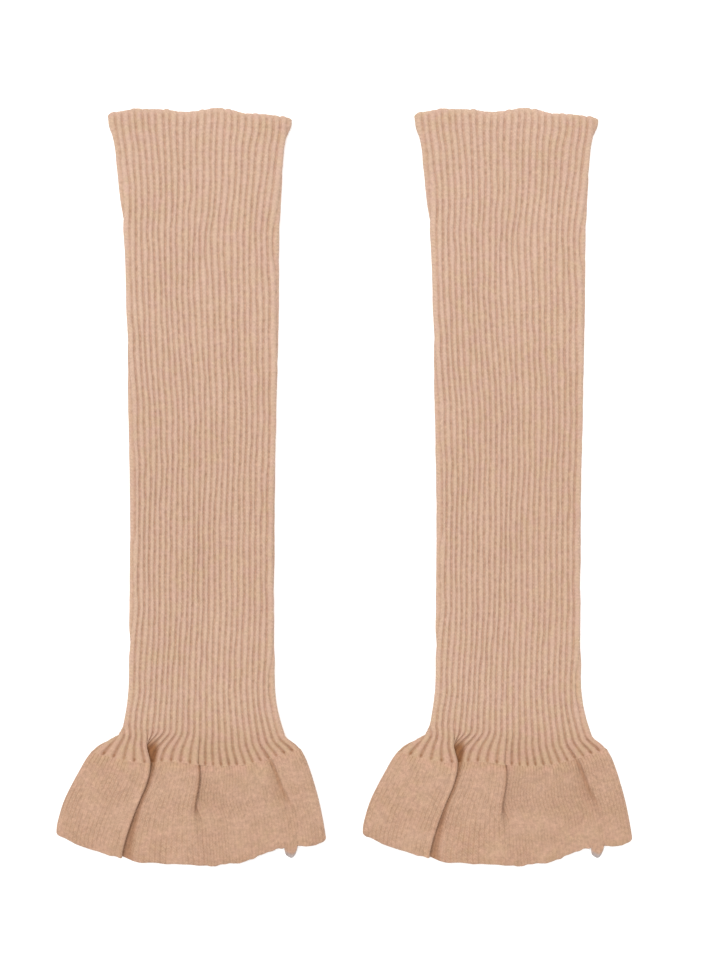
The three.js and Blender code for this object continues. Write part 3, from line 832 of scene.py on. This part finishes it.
def stitch_pattern(n, u, v, seam, stitch, plain_share):
    """Columns of V-shaped stitches, from 0 between them to 1 on the yarn."""
    across = n.math("ABSOLUTE", n.math("MULTIPLY_ADD", n.math("FRACT", u), 2.0, -1.0))
    slanted = n.math("SUBTRACT", v, n.math("MULTIPLY", across, stitch["slant"]))
    wave = n.math("COSINE", n.math("MULTIPLY", slanted, 2 * math.pi))
    legs = n.math("MULTIPLY_ADD", wave, 0.5, 0.5)
    column = n.math("SUBTRACT", 1.0, n.math("POWER", across, COLUMN_POWER))
    centre = n.remap(across, *CENTRE_SPAN)
    legs = n.remap(legs, 0.0, 1.0, plain_share, 1.0)
    gaps = n.math("SUBTRACT", 1.0, legs)
    legs = n.math("MULTIPLY_ADD", gaps, n.math("MULTIPLY", seam, SEAM_PLAIN), legs)
    return n.math("MULTIPLY", n.math("MULTIPLY", legs, column), centre)


def worn_lines(n, course_down, table):
    """Faint darker lines across the knit, at places down the piece, each with its share."""
    lines = 0.0
    for place_down, share in table:
        away = n.math("ABSOLUTE", n.math("SUBTRACT", course_down, place_down))
        lines = n.math("ADD", lines, n.remap(away, *LINE_SPAN, share, 0.0))
    return lines


def knit_material(name, stitch, colours, depth, stitch_shade):
    """Knit cloth: V-shaped stitches in columns, yarn of two close shades, loose fibres."""
    material = bpy.data.materials.new(name)
    n = Nodes(material)
    uv = n.tree.nodes.new("ShaderNodeUVMap")
    uv.uv_map = "Knit"
    parts = n.node("ShaderNodeSeparateXYZ", Vector=uv.outputs["UV"])
    rib_count, course_count = parts.outputs["X"], parts.outputs["Y"]
    place = n.tree.nodes.new("ShaderNodeTexCoord").outputs["Object"]
    rib, painted_shade, seam = n.attribute("rib"), n.attribute("painted_shade"), n.attribute("seam")
    in_groove = n.math("SUBTRACT", 1.0, rib)
    course_down = n.math("MULTIPLY", course_count, stitch["course"])

    # A slow wobble, so that neighbouring stitches aren't copies
    wobble = n.math("SUBTRACT", n.noise(place, *WOBBLE), 0.5)
    sway = n.math("MULTIPLY", wobble, stitch["wobble"])
    u = n.math("MULTIPLY_ADD", rib_count, stitch["wales"], sway)
    v = n.math("ADD", course_count, n.math("MULTIPLY", wobble, COURSE_WOBBLE))
    stitches = stitch_pattern(n, u, v, seam, stitch, colours["plain_share"])

    # The grooves take painted shade and shallow dents in uneven dashes, one or a few stitches long
    dash_place = n.node(
        "ShaderNodeCombineXYZ",
        X=n.math("ROUND", rib_count),
        Y=n.math("MULTIPLY", v, DASH_COURSES),
    )
    dashes = n.remap(n.noise(dash_place.outputs["Vector"], 1.0, 1.0), *DASH_SPAN)
    # Slow changes of the yarn's shade from one rib to the next and along each
    streak_place = n.node(
        "ShaderNodeCombineXYZ",
        X=n.math("FLOOR", rib_count),
        Y=n.math("MULTIPLY", v, STREAK_COURSES),
        Z=STREAK_LAYER,
    )
    streaks = n.noise(streak_place.outputs["Vector"], 1.0, 2.0)

    fibres = n.noise(place, *FIBRES)
    fuzz = n.noise(place, colours["grain_scale"], *FUZZ)
    mottle = n.remap(n.noise(place, *MOTTLE), *MOTTLE_SPAN)
    cloud = n.noise(place, *CLOUD)
    flecks = n.remap(n.noise(place, *FLECKS), *FLECK_SPAN)
    patches = n.remap(n.noise(place, *PATCHES), *PATCH_SPAN, colours["worn"], 1.0)

    base = n.mix(mottle, colours["pink"], colours["yellow"])
    base = n.mix(n.remap(cloud, *CLOUD_SPAN), base, colours["light"])
    base = n.mix(n.remap(streaks, *STREAK_SPAN), base, colours["light"])
    far_down = n.remap(course_down, *FAR_DOWN_SPAN)
    base = n.mix(far_down, base, n.mix(1.0, base, colours["far_down"], "MULTIPLY"))
    base = n.mix(seam, base, n.mix(mottle, colours["seam_pink"], colours["seam_yellow"]))
    base = n.mix(n.math("MULTIPLY", flecks, FLECK_SHARE), base, colours["fleck"])
    lines = worn_lines(n, course_down, colours["lines"])
    lines = n.math("MULTIPLY", lines, n.remap(fuzz, *LINE_WEAR_SPAN))
    base = n.mix(lines, base, colours["groove"])
    # Painted shade in the grooves, in the groove colour
    groove = n.math("POWER", in_groove, GROOVE_POWER)
    groove = n.math("MULTIPLY", groove, n.remap(dashes, *DASH_TONE_SPAN))
    base = n.mix(n.math("MULTIPLY", groove, colours["groove_shade_share"]), base, colours["groove"])
    # Painted shade in the pleats, the crease, the groove ends and along the seam
    base = n.mix(n.math("MULTIPLY", painted_shade, PIT_SHARE), base, colours["painted_shade"])
    base = n.mix(n.attribute("pale"), base, colours["pale"])

    # Between the stitches the yarn's shadow is warm
    gaps = n.math("SUBTRACT", 1.0, stitches)
    sunk = n.math("MULTIPLY", gaps, n.math("MULTIPLY", patches, stitch_shade))
    tone = n.remap(fuzz, *FUZZ_SPAN, 1 - colours["grain"], 1 + colours["grain"])
    tone = n.math("MULTIPLY", tone, n.remap(fibres, *FIBRE_TONE_SPAN))
    tone = n.math("MULTIPLY", tone, 1.0 + stitch_shade * SHADE_MAKE_UP)
    # Painted highlight along the large pleat's outer edge
    edge_highlight = n.math("MULTIPLY_ADD", n.attribute("painted_edge_highlight"), EDGE_HIGHLIGHT_SHARE, 1.0)
    tone = n.math("MULTIPLY", tone, edge_highlight)
    red, green, blue = (
        n.math("MULTIPLY", tone, n.math("MULTIPLY_ADD", sunk, share, 1.0)) for share in SUNK_COLOUR
    )
    toned = n.node("ShaderNodeCombineColor", Red=red, Green=green, Blue=blue)
    colour = n.mix(1.0, base, toned.outputs["Color"], "MULTIPLY")

    height = n.math("MULTIPLY", stitches, depth)
    dash_depth = n.math("MULTIPLY", n.math("MULTIPLY", dashes, in_groove), DASH_DEPTH)
    height = n.math("SUBTRACT", height, dash_depth)
    height = n.math("ADD", height, n.math("MULTIPLY", fibres, FIBRE_HEIGHT))
    height = n.math("ADD", height, n.math("MULTIPLY", fuzz, FUZZ_HEIGHT))
    bumped = n.node("ShaderNodeBump", Height=height, Strength=1.0, Distance=1.0)
    shader = n.node("ShaderNodeBsdfPrincipled", Base_Color=colour, Normal=bumped.outputs["Normal"])
    for socket, value in CLOTH_SURFACE.items():
        shader.inputs[socket].default_value = value
    out = n.tree.nodes.new("ShaderNodeOutputMaterial")
    n.tree.links.new(shader.outputs["BSDF"], out.inputs["Surface"])
    return material


# Colours of the yarn, with the knit's own shares and scales; its faint lines are (place down, share)
RIB_COLOURS = {
    "pink": (0.608, 0.399, 0.308, 1),
    "yellow": (0.604, 0.422, 0.286, 1),
    "light": (0.652, 0.454, 0.349, 1),
    "far_down": (0.960, 0.948, 0.932, 1),
    "seam_pink": (0.535, 0.325, 0.232, 1),
    "seam_yellow": (0.515, 0.340, 0.218, 1),
    "fleck": (0.74, 0.50, 0.37, 1),
    # painted shade in the grooves; the faint lines take this colour too
    "groove": (0.42, 0.240, 0.155, 1),
    "groove_shade_share": 0.5,
    "painted_shade": (0.27, 0.112, 0.043, 1),
    "pale": (0.385, 0.335, 0.325, 1),
    "grain": 0.09,
    "grain_scale": 800.0,
    "plain_share": 0.0,
    "worn": 0.6,
    "lines": ((10.0, 0.16), (23.2, 0.12), (30.1, 0.14)),
}
RUFFLE_COLOURS = {
    "pink": (0.472, 0.286, 0.198, 1),
    "yellow": (0.466, 0.300, 0.194, 1),
    "light": (0.500, 0.321, 0.227, 1),
    "far_down": (1, 1, 1, 1),
    "seam_pink": (0.535, 0.325, 0.232, 1),
    "seam_yellow": (0.515, 0.340, 0.218, 1),
    "fleck": (0.64, 0.40, 0.28, 1),
    "groove": (0.35, 0.18, 0.10, 1),
    "groove_shade_share": 0.0,
    "painted_shade": (0.27, 0.115, 0.048, 1),
    "pale": (0.385, 0.335, 0.325, 1),
    "grain": 0.145,
    "grain_scale": 560.0,
    "plain_share": 0.45,
    "worn": 0.25,
    "lines": ((382.0, 0.10),),
}
# Each knit's stitch depth in metres, and how dark the yarn's shadow is
RIB_STITCHES = (0.00020, 0.085)
RUFFLE_STITCHES = (0.00022, 0.29)
rib_knit = knit_material("rib_knit", TUBE_STITCH, RIB_COLOURS, *RIB_STITCHES)
plain_knit = knit_material("plain_knit", RUFFLE_STITCH, RUFFLE_COLOURS, *RUFFLE_STITCHES)

for side, x in (("left", -PAIR_SPACING / 2), ("right", PAIR_SPACING / 2)):
    tube = tube_mesh(f"{side}_ribbed_leg", x)
    tube.data.materials.append(rib_knit)
    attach(tube, "root")
    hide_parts(f"{side}_leg_tube")
    frill = ruffle_mesh(f"{side}_hem_ruffle", x)
    frill.data.materials.append(plain_knit)
    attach(frill, "root")
    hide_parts(f"{side}_ruffle")

# The floor, an almost white sheet that glows a little, as wide as the views from low angles need
FLOOR_HALF = 12.0
FLOOR_DOWN = 0.0003
FLOOR_NOISE = (6.0, 2.0)
FLOOR_SPAN = (0.3, 0.7, 0.88, 0.90)
FLOOR_GLOW = 0.3
WHITE = (1, 1, 1, 1)
corners = [(-1, -1), (1, -1), (1, 1), (-1, 1)]
floor_mesh = bpy.data.meshes.new("floor")
floor_mesh.from_pydata([(FLOOR_HALF * x, FLOOR_HALF * y, 0) for x, y in corners], [], [(0, 1, 2, 3)])
floor = bpy.data.objects.new("floor", floor_mesh)
bpy.context.collection.objects.link(floor)
floor.location.z = -FLOOR_DOWN
floor_material = bpy.data.materials.new("studio_floor")
n = Nodes(floor_material)
spot = n.noise(n.tree.nodes.new("ShaderNodeTexCoord").outputs["Object"], *FLOOR_NOISE)
grey = n.remap(spot, *FLOOR_SPAN)
pale = n.node("ShaderNodeCombineColor", Red=grey, Green=grey, Blue=grey)
matte = n.node("ShaderNodeBsdfDiffuse", Color=pale.outputs["Color"])
glow = n.node("ShaderNodeEmission", Color=WHITE, Strength=FLOOR_GLOW)
lit = n.tree.nodes.new("ShaderNodeAddShader")
out = n.tree.nodes.new("ShaderNodeOutputMaterial")
n.tree.links.new(matte.outputs["BSDF"], lit.inputs[0])
n.tree.links.new(glow.outputs["Emission"], lit.inputs[1])
n.tree.links.new(lit.outputs["Shader"], out.inputs["Surface"])
floor_mesh.materials.append(floor_material)

# Light: an even white room, and a broad soft lamp high at the upper left
ROOM_LIGHT = 0.60
LAMP_ANGLE = 38  # degrees that the lamp spans, for soft shadows
LAMP_POWER = 2.1
LAMP_PLACE = (-0.30, 0.46, 2.4)
scene = bpy.context.scene
world = bpy.data.worlds.new("room")
scene.world = world
n = Nodes(world)
room = n.node("ShaderNodeBackground", Color=WHITE, Strength=ROOM_LIGHT)
out = n.tree.nodes.new("ShaderNodeOutputWorld")
n.tree.links.new(room.outputs["Background"], out.inputs["Surface"])
lamp_data = bpy.data.lights.new("soft_key", "SUN")
lamp_data.angle = math.radians(LAMP_ANGLE)
lamp_data.energy = LAMP_POWER
lamp = bpy.data.objects.new("soft_key", lamp_data)
lamp.location = LAMP_PLACE
lamp.rotation_euler = (-lamp.location).to_track_quat("-Z", "Y").to_euler()
bpy.context.collection.objects.link(lamp)

# Camera, straight above as in the photograph
CAMERA_LENS = 85
CAMERA_SENSOR = 36
CAMERA_PLACE = (0.0083, 0.0026, 1.205)
camera_data = bpy.data.cameras.new("camera")
camera_data.lens = CAMERA_LENS
camera_data.sensor_width = CAMERA_SENSOR
camera = bpy.data.objects.new("camera", camera_data)
camera.location = CAMERA_PLACE
bpy.context.collection.objects.link(camera)
scene.camera = camera
scene.view_settings.view_transform = "Standard"
scene.view_settings.look = "None"
